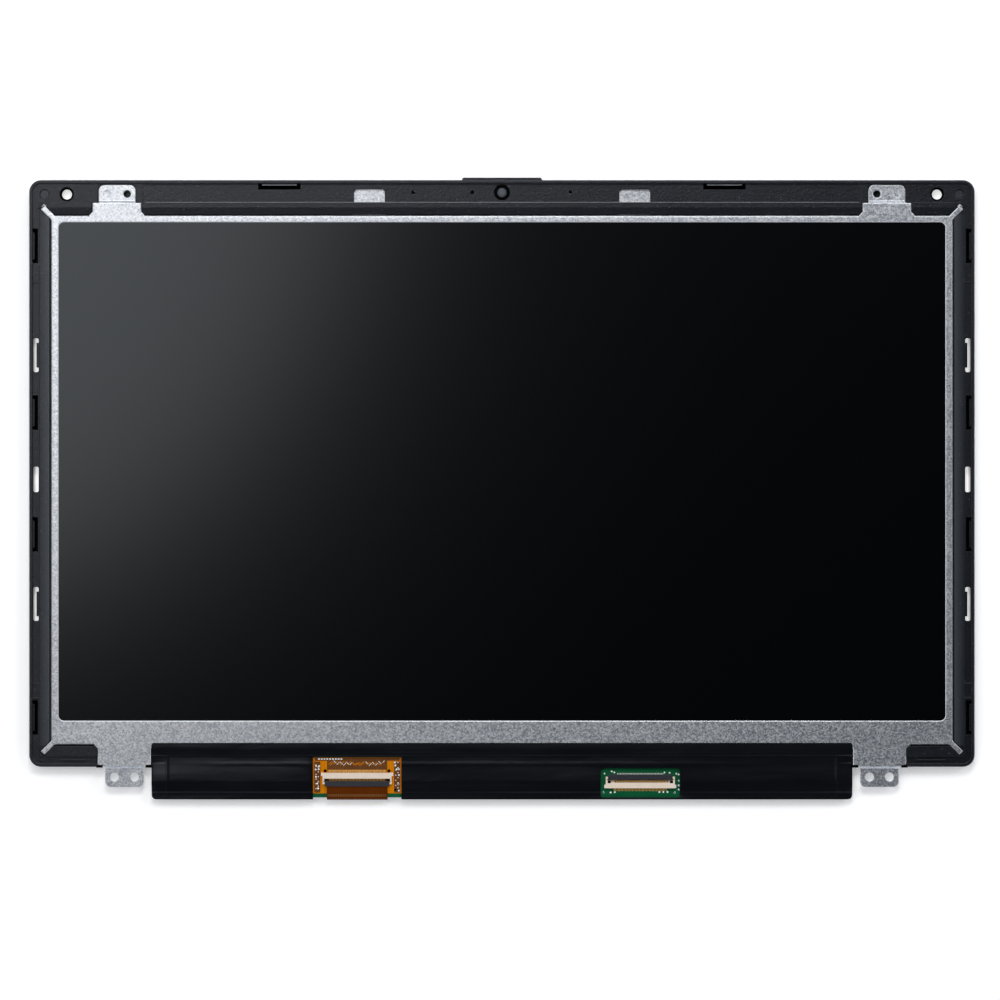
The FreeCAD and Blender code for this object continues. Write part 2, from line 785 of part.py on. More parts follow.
def rear_cover():
    """Steel tray of the module, with folded edges and a field pressed outwards."""
    x, y0, y1 = cover_x, cover_y0, cover_y1
    fold = sheet + bend_radius
    floor = block(both(x - fold), (y0 + fold, y1 - fold), (seat, reflector_z))
    high = seat + cover_wall
    low = seat + low_cover_wall
    side = folded([(x, high), (x, seat), (x - fold - past, seat)][::-1], sheet, bend_radius)
    top = folded([(y1 - fold - past, seat), (y1, seat), (y1, high)], sheet, bend_radius)
    bottom = folded([(y0, low), (y0, seat), (y0 + fold + past, seat)], sheet, bend_radius)
    ends = (y0 + corner_relief, y1 - corner_relief)
    edges = with_mirror([along_y(side, ends)])
    edges += [along_x(section, both(x - corner_relief)) for section in (top, bottom)]
    tray = floor.fuse(edges)
    field_x = x - pressing_border
    field_y = (y0 + pressing_border, y1 - pressing_border)
    field_z = seat - pressing_depth
    inner_corner = pressing_corner - sheet * (2 - math.sqrt(2))
    tray = tray.fuse(cut_corner_plate(both(field_x), field_y, (field_z, reflector_z), pressing_corner))
    tray = tray.cut(cut_corner_plate(both(field_x - sheet), (field_y[0] + sheet, field_y[1] - sheet),
                                     (field_z + sheet, reflector_z + past), inner_corner))
    way_out = block(span(touch_centre, tail_width + 2 * steel_gap), (y0 - past, y0 + fold), (reflector_z, low + past))
    return tray.cut(way_out).removeSplitter()


def inner_frame():
    """White moulded ring: a wall round the sheets and glass, a ledge between them and a bar over the light strip."""
    wall_z = (reflector_z, bezel_z0)
    ring = block(both(inner_x), (colour_y0, inner_y1), wall_z)
    ring = ring.cut(block(both(inner_x - inner_wall), (colour_y0 - past, inner_y1 - inner_wall),
                          (reflector_z - past, bezel_z0 + past)))
    shelf = block(both(inner_x), (colour_y0, inner_y1), (ledge_z, rear_polariser_z))
    reach = inner_wall + ledge_reach
    shelf = shelf.cut(block(both(inner_x - reach), (colour_y0 - past, inner_y1 - reach), (0, bezel_z1)))
    bar = block(both(inner_x), (inner_y0, colour_y0), (lower_prism_z, array_z))
    foot = block(both(inner_x), (inner_y0, inner_y0 + inner_wall), (reflector_z, lower_prism_z))
    foot = foot.cut(block(span(touch_centre, tail_width + 2 * steel_gap), (inner_y0 - past, inner_y0 + 2 * past),
                          (0, lower_prism_z)))
    ends = with_mirror([block((inner_x - inner_wall, inner_x), (inner_y0, colour_y0), (reflector_z, array_z))])
    return ring.fuse([shelf, bar, foot] + ends).removeSplitter()


def optical_sheet(z, thickness):
    half = inner_x - inner_wall - steel_gap
    return block(both(half), (guide_y0, glass_y1), (z, z + thickness))


def display_layer(low_y, z, thickness, setback=0.0):
    return block(both(glass_x - setback), (low_y + setback, glass_y1 - setback), (z, z + thickness))


def light_diodes():
    """Row of white light diodes that shine into the lower edge of the light guide."""
    reach = glass_x - diode_width
    count = int(2 * reach / diode_pitch) + 1
    start = -(count - 1) * diode_pitch / 2
    z = (reflector_z + diode_strip, diffuser_z)
    return [block(span(start + i * diode_pitch, diode_width), (diode_y0, diode_y0 + diode_depth), z)
            for i in range(count)]


def diode_strip_board():
    return block(both(glass_x), (diode_strip_y0, diode_y0 + diode_depth), (reflector_z, reflector_z + diode_strip))


def driver_film(x):
    """Film that joins the array glass to the driver board."""
    route = [
        (board_y1 - bond_land, board_z1),
        (board_y1 + bond_flat, board_z1),
        (bezel_y0 - bond_flat, colour_z),
        (array_y0 + bond_overlap, colour_z),
    ]
    return along_x(folded(route, bond_film), span(x, bond_width))


def driver_chip(x):
    y = array_y0 - chip_width / 2
    z = colour_z + bond_film
    return block(span(x, chip_length), span(y, chip_width), (z, z + chip_height))


def driver_board():
    return block(both(board_x), (board_y0, board_y1), (board_z0, board_z1))


def package(x, side):
    y = board_y1 - package_line
    return block(span(x, side), span(y, side), (board_z1, board_z1 + package_height))


def capacitors():
    """Two fields of chip capacitors on the driver board."""
    length, width = chip_capacitor
    solids = []
    for row in range(capacitor_rows):
        for column in range(capacitor_columns):
            x = board_x - capacitor_inset - column * capacitor_pitch
            y = board_y1 - package_line + row * capacitor_pitch
            solids.append(block(span(x, length), span(y, width), (board_z1, board_z1 + width)))
    return with_mirror(solids)


def board_film():
    """Black film folded round the driver board, closed at its ends, with a window at each socket."""
    route = [
        (film_y0 + film_back, board_z0),
        (film_y0 + film, board_z0),
        (film_y0 + film, film_z - film_droop),
        (film_y0 + film_low, film_z - film_droop),
        (film_y0 + film_fall, film_z),
        (bezel_y0 - film_slope, film_z),
        (bezel_y0 - film_step, bezel_z1),
        (bezel_y0 + film_lip, bezel_z1),
    ]
    sleeve = along_x(folded(route, film), both(film_x))
    cap = section_of(route[:6])
    caps = with_mirror([along_x(cap, (film_x - film, film_x))])
    sleeve = sleeve.fuse(caps).removeSplitter()
    for wall in (film, 0.0):
        corners = upright_edges(sleeve, lambda x, y: abs(abs(x) - film_x + wall) + abs(y - film_y0 - wall) < tiny)
        sleeve = sleeve.makeFillet(film_corner - wall, corners)
    open_z = (board_z0, bezel_z1 + past)
    below = outline_y0 - past
    windows = [
        block(span(touch_centre, touch_window_width), (below, bezel_y0 - touch_window_start), open_z),
        block(span(touch_centre, touch_window_width), (below, board_y0), (seat, bezel_z1)),
        video_window(),
    ]
    return sleeve.cut(windows).removeSplitter()


def video_window():
    """Window over the video socket, rounded above and cut off below."""
    y = (film_y0 + video_window_end, bezel_y0 - video_window_start)
    window = block(span(video_centre, video_window_width), y, (board_z1, bezel_z1))
    window = window.makeFillet(video_window_corner, upright_edges(window, lambda x, place: place > y[1] - tiny))
    return window.makeChamfer(video_window_cut, upright_edges(window, lambda x, place: place < y[0] + tiny))


def touch_flex_patch():
    y1 = bezel_y0 - touch_flex_start
    return block(span(touch_centre, touch_flex_width), (y1 - touch_flex_length, y1), (board_z1, touch_z))


def light_tail():
    """Flat lead of the light strip: out under the board, round its edge and into the touch-side socket."""
    high = touch_z + tail_lift + tail
    route = [
        (touch_y - lock_back + tail_entry, high),
        (outline_y0, high),
        (outline_y0, reflector_z),
        (diode_strip_y0, reflector_z),
    ]
    bend = (high - reflector_z) / 2 - tail
    return along_x(folded(route, tail, bend, True), span(touch_centre, tail_width))


def socket_placement(side):
    """Turn and place of a socket whose mouth faces -Y before it is turned."""
    if side == "touch":
        return 0, point(touch_centre, touch_y, touch_z)
    return 180, point(video_centre, video_y, board_z1)


def socket_housing(side):
    """White moulding of a socket: floor, bar over the contacts and two arms that hold the lock's pins."""
    half = socket_length / 2
    inside = half - arm_width - lock_clearance
    floor = block(both(half), (-arm_reach, socket_bar - contact_web - contact_width), (0, socket_floor))
    bar = block(both(half), (0, socket_bar), (socket_height - socket_roof, socket_height))
    arms = with_mirror([
        block((half - arm_width, half), (-arm_reach, socket_bar), (0, arm_height)),
        block((inside - lock_clearance, half), (0, socket_bar), (0, socket_height)),
    ])
    body = floor.fuse([bar] + arms)
    pivot_y, pivot_z = lock_pivot()
    bore = Part.makeCylinder(pivot_radius + pivot_fit, socket_length, point(-half, pivot_y, pivot_z), point(1, 0, 0))
    core = block(both(half - arm_width + pivot_length), (-arm_reach, 0), (0, arm_height))
    return turned(body.cut(bore.common(core)).removeSplitter(), *socket_placement(side))


def lock_pivot():
    return -lock_back - pivot_setback, lock_lift + lock_thickness / 2


def socket_lock(side):
    """Dark lever of a socket, closed over the cable, with a pivot pin at each end."""
    half = socket_length / 2 - arm_width - lock_clearance
    back = -lock_back
    front = back - lock_depth
    low = lock_lift
    high = lock_lift + lock_thickness
    corners = [
        (back, low + lock_bevel / 2), (back, high - lock_bevel), (back - lock_bevel, high),
        (front + lock_bevel, high), (front, high - lock_bevel), (front, low), (back - lock_bevel, low),
    ]
    bar = along_x(section_of(corners), both(half))
    pivot_y, pivot_z = lock_pivot()
    reach = half + pivot_length
    pins = Part.makeCylinder(pivot_radius, 2 * reach, point(-reach, pivot_y, pivot_z), point(1, 0, 0))
    return turned(bar.fuse(pins).removeSplitter(), *socket_placement(side))


def socket_contacts(side, count):
    """Row of spring contacts: a beam under the bar and a leg that slopes down to its solder pad behind it."""
    roof = socket_height - socket_roof
    back = socket_bar - contact_width
    tip = socket_bar + contact_tail
    corners = [
        (-contact_reach, roof), (-contact_reach, roof - contact_beam), (back - contact_web, roof - contact_beam),
        (tip - contact_web, 0), (tip, 0), (back, roof),
    ]
    start = -(count - 1) * contact_pitch / 2
    row = [along_x(section_of(corners), span(start + i * contact_pitch, contact_width)) for i in range(count)]
    return [turned(contact, *socket_placement(side)) for contact in row]


def socket_nails(side):
    """Metal nails that solder the ends of a socket down."""
    half = socket_length / 2
    nail = block((half, half + nail_width), (socket_bar - nail_length, socket_bar), (0, nail_height))
    return [turned(shape, *socket_placement(side)) for shape in with_mirror([nail])]


def camera_board():
    z = (camera_board_z1 - camera_board_thickness, camera_board_z1)
    return block(camera_board_span, span(camera_y, camera_board_width), z)


def camera_top():
    return deck_under - camera_body_slack


def camera_housing():
    """Lens holder: a square tube round the sensor, under the barrel."""
    z = (camera_board_z1, camera_top())
    room = image_sensor + 2 * sensor_room
    body = block(span(0, camera_body), span(camera_y, camera_body), z)
    return body.cut(block(span(0, room), span(camera_y, room), (z[0] - past, z[1] + past)))


def turned_on_axis(corners):
    """Solid turned about the lens axis, from radius and height pairs."""
    outline = Part.makePolygon([point(r, 0, z) for r, z in corners + corners[:1]])
    solid = Part.Face(outline).revolve(point(0, 0, 0), point(0, 0, 1), 360)
    return turned(solid, 0, point(0, camera_y))


def camera_barrel():
    """Ring that holds the front lens on a ledge."""
    top = deck_z - barrel_sink
    foot = camera_top()
    seat_z = top - lens_sink - lens_edge
    bore = lens / 2 - lens_ledge
    return turned_on_axis([
        (bore, foot), (barrel / 2, foot), (barrel / 2, top), (lens / 2, top), (lens / 2, seat_z), (bore, seat_z),
    ])


def camera_lens():
    """Front lens: a flat back and a crowned face."""
    high = deck_z - barrel_sink - lens_sink
    crown = high + lens_crown
    return turned_on_axis([
        (0, high - lens_edge), (lens / 2, high - lens_edge), (lens / 2, high), (lens / 4, crown), (0, crown),
    ])


def camera_sensor():
    return block(span(0, image_sensor), span(camera_y, image_sensor),
                 (camera_board_z1, camera_board_z1 + image_sensor_height))


def on_camera_board(x, size, height):
    return block(span(x, size[0]), span(camera_y, size[1]), (camera_board_z1, camera_board_z1 + height))


def microphone_seal(x):
    """Rubber seal from a microphone to its hole in the deck."""
    z = (camera_board_z1 + microphone_height, deck_under)
    body = block(span(x, microphone[0]), span(camera_y, microphone[1]), z)
    return body.cut(block(span(x, pin_hole), span(camera_y, pin_hole), (z[0] - past, z[1] + past)))


def save(name, solids):
    shape = solids[0] if len(solids) == 1 else Part.makeCompound(solids)
    shape.exportStep("parts/" + name + ".step")


def save_module():
    save("front_bezel", [front_bezel()])
    save("rear_cover", [rear_cover()])
    save("inner_frame", [inner_frame()])
    save("reflector_sheet", [optical_sheet(reflector_z, reflector)])
    save("light_guide", [optical_sheet(guide_z, light_guide)])
    save("diffuser_sheet", [optical_sheet(diffuser_z, diffuser)])
    save("lower_prism_sheet", [optical_sheet(lower_prism_z, prism)])
    save("upper_prism_sheet", [optical_sheet(upper_prism_z, prism)])
    save("rear_polariser", [display_layer(colour_y0, rear_polariser_z, rear_polariser)])
    save("array_glass", [display_layer(array_y0, array_z, array_glass)])
    save("colour_filter_glass", [display_layer(colour_y0, colour_z, colour_glass)])
    save("front_polariser", [display_layer(colour_y0, front_polariser_z, front_polariser, steel_gap)])
    save("light_diodes", light_diodes())
    save("light_strip_board", [diode_strip_board()])


def save_board():
    for name, x in (("left", -bond_x), ("middle", 0.0), ("right", bond_x)):
        save("driver_film_" + name, [driver_film(x)])
        save("driver_chip_" + name, [driver_chip(x)])
    save("driver_board", [driver_board()])
    save("timing_controller", [package(controller_offset, controller_side)])
    save("voltage_regulator", [package(regulator_offset, regulator_side)])
    save("power_coils", [package(x, coil_side) for x in coil_offsets])
    save("board_capacitors", capacitors())
    save("board_film", [board_film()])
    save("touch_flex", [touch_flex_patch()])
    save("light_lead", [light_tail()])
    for side, count in (("touch", touch_contacts), ("video", video_contacts)):
        save(side + "_socket_housing", [socket_housing(side)])
        save(side + "_socket_contacts", socket_contacts(side, count))
        save(side + "_socket_lock", [socket_lock(side)])
        save(side + "_socket_nails", socket_nails(side))


def save_frame():
    save("middle_frame", [middle_frame()])
    save("camera_board", [camera_board()])
    save("camera_housing", [camera_housing()])
    save("camera_barrel", [camera_barrel()])
    save("camera_lens", [camera_lens()])
    save("camera_sensor", [camera_sensor()])
    save("camera_indicator", [on_camera_board(indicator_offset, indicator, indicator_height)])
    save("camera_plug", [on_camera_board(camera_plug_offset, camera_plug, camera_plug_height)])
    for name, x in zip(("left", "right"), microphone_offsets):
        save("microphone_" + name, [on_camera_board(x, microphone, microphone_height)])
        save("microphone_seal_" + name, [microphone_seal(x)])


os.makedirs("parts", exist_ok=True)
save_frame()
save_module()
save_board()
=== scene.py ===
import json
import math

import bmesh
import bpy
from mathutils import Matrix, Vector, noise


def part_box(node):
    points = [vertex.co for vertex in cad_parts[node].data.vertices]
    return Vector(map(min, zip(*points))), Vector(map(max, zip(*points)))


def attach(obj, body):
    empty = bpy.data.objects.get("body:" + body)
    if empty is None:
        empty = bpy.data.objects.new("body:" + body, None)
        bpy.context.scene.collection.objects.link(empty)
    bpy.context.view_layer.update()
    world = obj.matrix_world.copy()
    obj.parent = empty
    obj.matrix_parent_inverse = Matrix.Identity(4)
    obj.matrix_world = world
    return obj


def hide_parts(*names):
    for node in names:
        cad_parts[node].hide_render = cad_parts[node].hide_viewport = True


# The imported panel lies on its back, in metres: X along its long side, Y to the camera edge, Z out of the display.
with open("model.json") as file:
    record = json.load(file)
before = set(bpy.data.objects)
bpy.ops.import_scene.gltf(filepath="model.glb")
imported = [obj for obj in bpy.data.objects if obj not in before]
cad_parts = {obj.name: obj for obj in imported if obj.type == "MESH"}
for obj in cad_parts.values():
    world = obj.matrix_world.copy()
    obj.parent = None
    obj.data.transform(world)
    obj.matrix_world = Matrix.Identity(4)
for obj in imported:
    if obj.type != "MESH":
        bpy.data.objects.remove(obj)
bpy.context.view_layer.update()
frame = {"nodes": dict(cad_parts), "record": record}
nodes = frame["nodes"]
MM = 0.001


# Shader nodes

def linear(code):
    """sRGB hex code as a linear colour."""
    parts = [int(code[i:i + 2], 16) / 255 for i in (1, 3, 5)]
    return tuple(c / 12.92 if c <= 0.04045 else ((c + 0.055) / 1.055) ** 2.4 for c in parts) + (1.0,)


def per_mm(size):
    """Texture scale that gives features of that size in millimetres."""
    return 1 / (size * MM)


def add(tree, kind, inputs=None, **settings):
    """Adds a shader node with its settings. Each input is a plain value, or an output to link from."""
    made = tree.nodes.new("ShaderNode" + kind)
    for name, value in settings.items():
        setattr(made, name, value)
    for name, value in (inputs or {}).items():
        if isinstance(value, bpy.types.NodeSocket):
            tree.links.new(value, made.inputs[name])
        else:
            made.inputs[name].default_value = value
    return made


def clouds(tree, place, size, detail, output="Fac", **more):
    """Noise with features of a size in mm."""
    values = {"Vector": place, "Scale": per_mm(size), "Detail": detail, **more}
    return add(tree, "TexNoise", values).outputs[output]


def cells(tree, place, size, **settings):
    """Voronoi cells of a size in mm."""
    return add(tree, "TexVoronoi", {"Vector": place, "Scale": per_mm(size)}, **settings).outputs


def bands(tree, place, pitch, **more):
    """Parallel bands along Y, at a pitch in mm."""
    values = {"Vector": place, "Scale": per_mm(pitch) * WAVE_PERIOD, **more}
    return add(tree, "TexWave", values, wave_type="BANDS", bands_direction="X").outputs["Fac"]


def ramp(tree, value, start=0.0, stop=1.0, low=0.0, high=1.0):
    """Goes from low to high while a value goes from start to stop."""
    ends = {"From Min": start, "From Max": stop, "To Min": low, "To Max": high}
    return add(tree, "MapRange", {"Value": value, **ends}).outputs[0]


def reckon(tree, operation, *values):
    """Result of a Math node."""
    return add(tree, "Math", dict(enumerate(values)), operation=operation).outputs[0]


def mix(tree, share, first, second):
    """Number between two numbers."""
    return add(tree, "Mix", {0: share, 2: first, 3: second}).outputs[0]


def blend(tree, share, first, second, **settings):
    """Colour between two colours, each a hex code or an output."""
    first, second = (linear(c) if isinstance(c, str) else c for c in (first, second))
    return add(tree, "Mix", {0: share, 6: first, 7: second}, data_type="RGBA", **settings).outputs[2]


def relief(tree, height, strength, depth, **more):
    """Bump with a depth in mm."""
    return add(tree, "Bump", {"Height": height, "Strength": strength, "Distance": depth * MM, **more}).outputs[0]


def rounded(tree, radius):
    """Normal that eases the edges over a radius in mm."""
    return add(tree, "Bevel", {"Radius": radius * MM}, samples=6).outputs[0]


def finish(name, **values):
    """New material, with plain values set on its Principled shader's own sockets."""
    material = bpy.data.materials.new(name)
    material.use_nodes = True
    tree = material.node_tree
    shader = tree.nodes["Principled BSDF"]
    for socket, value in values.items():
        shader.inputs[socket.replace("_", " ")].default_value = value
    place = add(tree, "TexCoord").outputs["Object"]
    return material, tree, shader, place


def wire(tree, shader, **outputs):
    """Links outputs to the shader's sockets."""
    for socket, output in outputs.items():
        tree.links.new(output, shader.inputs[socket.replace("_", " ")])


# Materials

WAVE_PERIOD = 0.314         # period of a wave texture of scale 1
RAIL_Y = 3.05               # middle of the side rails, in mm
RAIL_X = (164.4, 160.4)     # outer and inner side of their slope


def galvanised_steel():
    # Galvanised sheet: zinc frozen in fine crystals, each with its own grain and shine, with small dark pits, and a
    # painted highlight that makes the sheet's rounded edges paler and less metallic.
    material, tree, shader, place = finish("galvanised_steel")
    drift = clouds(tree, place, 0.9, 2.0, "Color")
    warped = add(tree, "VectorMath", {0: drift, 1: (0.4 * MM,) * 3, 2: place}, operation="MULTIPLY_ADD")
    crystal = cells(tree, warped.outputs[0], 0.5)
    lean = add(tree, "SeparateColor", {"Color": crystal["Color"]}).outputs["Red"]
    feather = clouds(tree, place, 0.34, 3.0, Roughness=0.65)
    blotch = clouds(tree, place, 7.0, 3.0)
    grain = mix(tree, 0.1, mix(tree, 0.4, feather, lean), blotch)
    tone = blend(tree, ramp(tree, grain, 0.3, 0.7), "#9ea4b0", "#d9dce0")
    pit = cells(tree, place, 2.4, voronoi_dimensions="2D")
    dark = ramp(tree, pit["Distance"], 0.05, 0.13, low=0.55)
    pitted = blend(tree, 1.0, tone, dark, blend_type="MULTIPLY")
    # Painted highlight: the edges turn whiter and less metallic where the eased normal leans away from the face.
    edge = rounded(tree, 0.6)
    face = add(tree, "NewGeometry").outputs["Normal"]
    turn = add(tree, "VectorMath", {0: edge, 1: face}, operation="DOT_PRODUCT").outputs["Value"]
    edge_highlight = ramp(tree, turn, 0.995, 0.9, high=0.8)
    wire(tree, shader,
         Base_Color=blend(tree, edge_highlight, pitted, "#f8f9fb"),
         Metallic=ramp(tree, edge_highlight, low=0.9, high=0.6),
         Roughness=ramp(tree, grain, low=0.24, high=0.5),
         Normal=relief(tree, grain, 0.16, 0.05, Normal=edge))
    return material


def moulded_frame(name, deep, pale):
    # Black PC/ABS from a spark-eroded mould: fine matt grain, faint flow clouds, a little pale dust, and a
    # painted sheen that makes the side rails paler towards the module.
    material, tree, shader, place = finish(name, IOR=1.41, Specular_Tint=linear("#eef4ff"))
    grain = clouds(tree, place, 0.75, 3.0, Roughness=0.65)
    flow = clouds(tree, place, 9.0, 5.0)
    tint = blend(tree, ramp(tree, grain, 0.3, 0.7), deep, pale)
    axes = add(tree, "SeparateXYZ", {0: place}).outputs
    across = reckon(tree, "ABSOLUTE", axes["X"])
    along = reckon(tree, "ABSOLUTE", reckon(tree, "SUBTRACT", axes["Y"], RAIL_Y * MM))
    # Painted sheen: the side rails' upper slopes turn paler towards the module.
    rail_sheen = ramp(tree, across, *(x * MM for x in RAIL_X))
    for value, start, stop in ((axes["Z"], 4.5, 4.6), (across, 160.2, 160.3), (along, 94.3, 94.0)):
        rail_sheen = reckon(tree, "MULTIPLY", rail_sheen, ramp(tree, value, start * MM, stop * MM))
    tint = blend(tree, rail_sheen, tint, "#393c41")
    speck = cells(tree, place, 3.0, voronoi_dimensions="2D")
    chance = add(tree, "SeparateColor", {"Color": speck["Color"]}).outputs["Blue"]
    near = ramp(tree, speck["Distance"], 0.04, 0.09, 1.0, 0.0)
    dust = reckon(tree, "MULTIPLY", near, ramp(tree, chance, 0.5))
    wire(tree, shader,
         Base_Color=blend(tree, dust, tint, "#4c4e52"),
         Roughness=ramp(tree, flow, low=0.27, high=0.38),
         Normal=relief(tree, grain, 0.7, 0.15, Normal=rounded(tree, 0.28)))
    return material


def anti_glare_polariser():
    # Polariser with an anti-glare coat: near-black, with a broad soft haze where the light is. Its grain is drawn
    # coarser than the real 0.05 mm so that it shows.
    material, tree, shader, place = finish("anti_glare_polariser", IOR=1.42, Base_Color=linear("#010102"),
                                           Specular_Tint=linear("#ebf5ff"))
    wire(tree, shader, Roughness=ramp(tree, clouds(tree, place, 0.3, 2.0), low=0.175, high=0.195))
    return material


def black_film():
    # Black polyester film: satin, with soft handling wrinkles.
    material, tree, shader, place = finish("black_polyester_film", IOR=1.41, Specular_Tint=linear("#e6eeff"))
    drawn = add(tree, "VectorMath", {0: place, 1: (0.3, 1.0, 1.0)}, operation="MULTIPLY").outputs[0]
    swell = clouds(tree, drawn, 6.0, 3.0, Distortion=0.6)
    height = mix(tree, 0.02, swell, clouds(tree, place, 0.5, 2.0))
    wire(tree, shader,
         Base_Color=blend(tree, swell, "#040406", "#08090e"),
         Roughness=ramp(tree, swell, low=0.25, high=0.35),
         Normal=relief(tree, height, 0.35, 0.5))
    return material


def polyimide(name, pale, deep, pitch):
    # Polyimide over copper: amber film that darkens over the parallel copper runs under it, with a smooth gloss.
    material, tree, shader, place = finish(name, IOR=1.25, Specular_Tint=linear("#ffc890"))
    runs = bands(tree, place, pitch, Distortion=0.0)
    cloud = clouds(tree, place, 4.0, 3.0)
    wire(tree, shader,
         Base_Color=blend(tree, mix(tree, 0.55, runs, cloud), deep, pale),
         Roughness=ramp(tree, cloud, low=0.3, high=0.45),
         Normal=relief(tree, runs, 0.3, 0.03))
    return material


def solder_resist():
    # Green solder resist over copper: paler where copper lies under it, in slanting runs 1.2 mm apart.
    material, tree, shader, place = finish("green_solder_resist", IOR=1.25)
    slant = add(tree, "Mapping", {"Vector": place, "Rotation": (0.0, 0.0, math.radians(45))}).outputs[0]
    runs = bands(tree, slant, 1.2, Distortion=1.5, Detail=1.0)
    pour = clouds(tree, place, 5.0, 2.0)
    wire(tree, shader,
         Base_Color=blend(tree, mix(tree, 0.6, runs, pour), "#01482c", "#045e35"),
         Roughness=ramp(tree, pour, low=0.3, high=0.45),
         Normal=relief(tree, runs, 0.2, 0.02))
    return material


def moulding(name, pale, deep, low, high, grit, ior=1.43):
    # Small moulding: even colour with faint clouds, and a fine grit from the mould.
    material, tree, shader, place = finish(name, IOR=ior)
    grain = clouds(tree, place, grit, 2.0)
    wire(tree, shader,
         Base_Color=blend(tree, clouds(tree, place, 2.5, 3.0), deep, pale),
         Roughness=ramp(tree, grain, low=low, high=high),
         Normal=relief(tree, grain, 0.15, 0.03))
    return material


def plated_metal(name, pale, deep, low, high):
    # Plated metal: bright, with dull patches where solder or handling has touched it.
    material, tree, shader, place = finish(name, Metallic=0.35)
    patch = clouds(tree, place, 0.8, 3.0)
    wire(tree, shader, Base_Color=blend(tree, patch, deep, pale), Roughness=ramp(tree, patch, low=high, high=low))
    return material


def coated_lens():
    # Small glass lens with a grey anti-reflection coat: an even, pale, dull sheen.
    material, tree, shader, place = finish("coated_lens", IOR=1.33)
    sheen = clouds(tree, place, 2.0, 1.0)
    wire(tree, shader, Base_Color=blend(tree, sheen, "#3e424b", "#5c6067"),
         Roughness=ramp(tree, sheen, low=0.5, high=0.6))
    return material


steel = galvanised_steel()
black_plastic = moulded_frame("black_pc_abs", "#040608", "#181b21")
# Pale plastic for the painted highlights along the frame's crest and latch lips.
crest_highlight_plastic = moulded_frame("crest_highlight_pc_abs", "#9b9ca0", "#bdbfc3")
# Paler plastic for the painted highlight on the floors of the round corner recesses.
recess_highlight_plastic = moulded_frame("recess_highlight_pc_abs", "#1e2125", "#34383d")
screen_face = anti_glare_polariser()
film_skin = black_film()
amber_flex = polyimide("amber_polyimide", "#dc8803", "#c16800", 1.0)
brown_flex = polyimide("brown_polyimide", "#682f04", "#3e1801", 0.8)
laminate = polyimide("laminated_polyimide", "#764c2b", "#563217", 0.9)
green_board = solder_resist()
ivory = moulding("ivory_nylon", "#ebdac9", "#dbcab8", 0.4, 0.55, 0.3)
lock_black = moulding("charcoal_nylon", "#2b2d33", "#1d1e24", 0.35, 0.5, 0.25)
chip_epoxy = moulding("chip_epoxy", "#2a2a2c", "#1c1c1e", 0.5, 0.65, 0.2)
# Black nylon of the lens barrel; the same black also serves for the painted shade in holes, pockets and socket
# mouths.
black_nylon_and_shade = moulding("barrel_nylon_and_painted_shade", "#040405", "#020203", 0.7, 0.85, 0.2, 1.12)
seal_rubber = moulding("seal_rubber", "#1f1f20", "#161617", 0.7, 0.85, 0.2)
white_plastic = moulding("white_polycarbonate", "#f2f2ee", "#e6e6e0", 0.35, 0.5, 0.3)
clear_sheet = moulding("optical_sheet", "#e8ebec", "#dde1e2", 0.15, 0.25, 0.4)
inner_glass = moulding("display_glass", "#15191c", "#0e1113", 0.05, 0.1, 0.4)
ceramic = moulding("capacitor_ceramic", "#8a6b4c", "#77593c", 0.4, 0.55, 0.2)
tin = plated_metal("tin_plate", "#ffffff", "#ecebe6", 0.35, 0.5)
gold = plated_metal("gold_flash", "#e2b462", "#b98538", 0.35, 0.5)
lens_glass = coated_lens()

slot_finish = {
    "moulded_frame": black_plastic, "galvanised_steel": steel, "white_moulding": white_plastic,
    "socket_ivory": ivory, "plug_ivory": ivory, "lens_black": black_nylon_and_shade, "lens_glass": lens_glass,
    "sensor_face": inner_glass, "board_green": green_board, "chip_black": chip_epoxy,
    "capacitor_ceramic": ceramic, "black_film": film_skin, "flex_amber": amber_flex, "flex_brown": brown_flex,
    "optical_white": white_plastic, "optical_clear": clear_sheet, "polariser": screen_face,
    "display_glass": inner_glass, "diode_white": white_plastic, "tinned_metal": tin, "contact_gold": gold,
    "lock_black": lock_black, "seal_rubber": seal_rubber,
}
node_slot = {part["node"]: part["material_slot"] for part in frame["record"]["subparts"]}
for name, piece in nodes.items():
    piece.data.materials.clear()
    piece.data.materials.append(slot_finish[node_slot[name]])


# Shapes, in mm

def place_piece(name, shape, material):
    """Makes a piece of the panel from a bmesh and gives it a finish."""
    mesh = bpy.data.meshes.new(name)
    shape.to_mesh(mesh)
    shape.free()
    mesh.materials.append(material)
    piece = bpy.data.objects.new(name, mesh)
    bpy.context.scene.collection.objects.link(piece)
    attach(piece, "panel")
    return piece


def merged_copy(node):
    """Copy of a CAD node, with its loose triangles merged into flat faces."""
    shape = bmesh.new()
    shape.from_mesh(nodes[node].data)
    bmesh.ops.remove_doubles(shape, verts=shape.verts, dist=1e-7)
    bmesh.ops.dissolve_limit(shape, angle_limit=math.radians(1), verts=shape.verts, edges=shape.edges)
    return shape


def slice_at(shape, axis, places):
    """Cuts a bmesh across an axis at places."""
    normal = Vector([float(i == axis) for i in range(3)])
    for place in places:
        bmesh.ops.bisect_plane(shape, geom=shape.verts[:] + shape.edges[:] + shape.faces[:], dist=1e-8,
                               plane_co=normal * place * MM, plane_no=normal)


def shifted(x, y, z):
    """Placing without a turn."""
    return Matrix.Translation(Vector((x, y, z)) * MM)


def slab(shape, centre, size, turn=0.0):
    """Adds a box to a bmesh, turned in degrees about Z."""
    place = shifted(*centre) @ Matrix.Rotation(math.radians(turn), 4, "Z")
    bmesh.ops.create_cube(shape, size=1.0, matrix=place @ Matrix.Diagonal((*(s * MM for s in size), 1.0)))


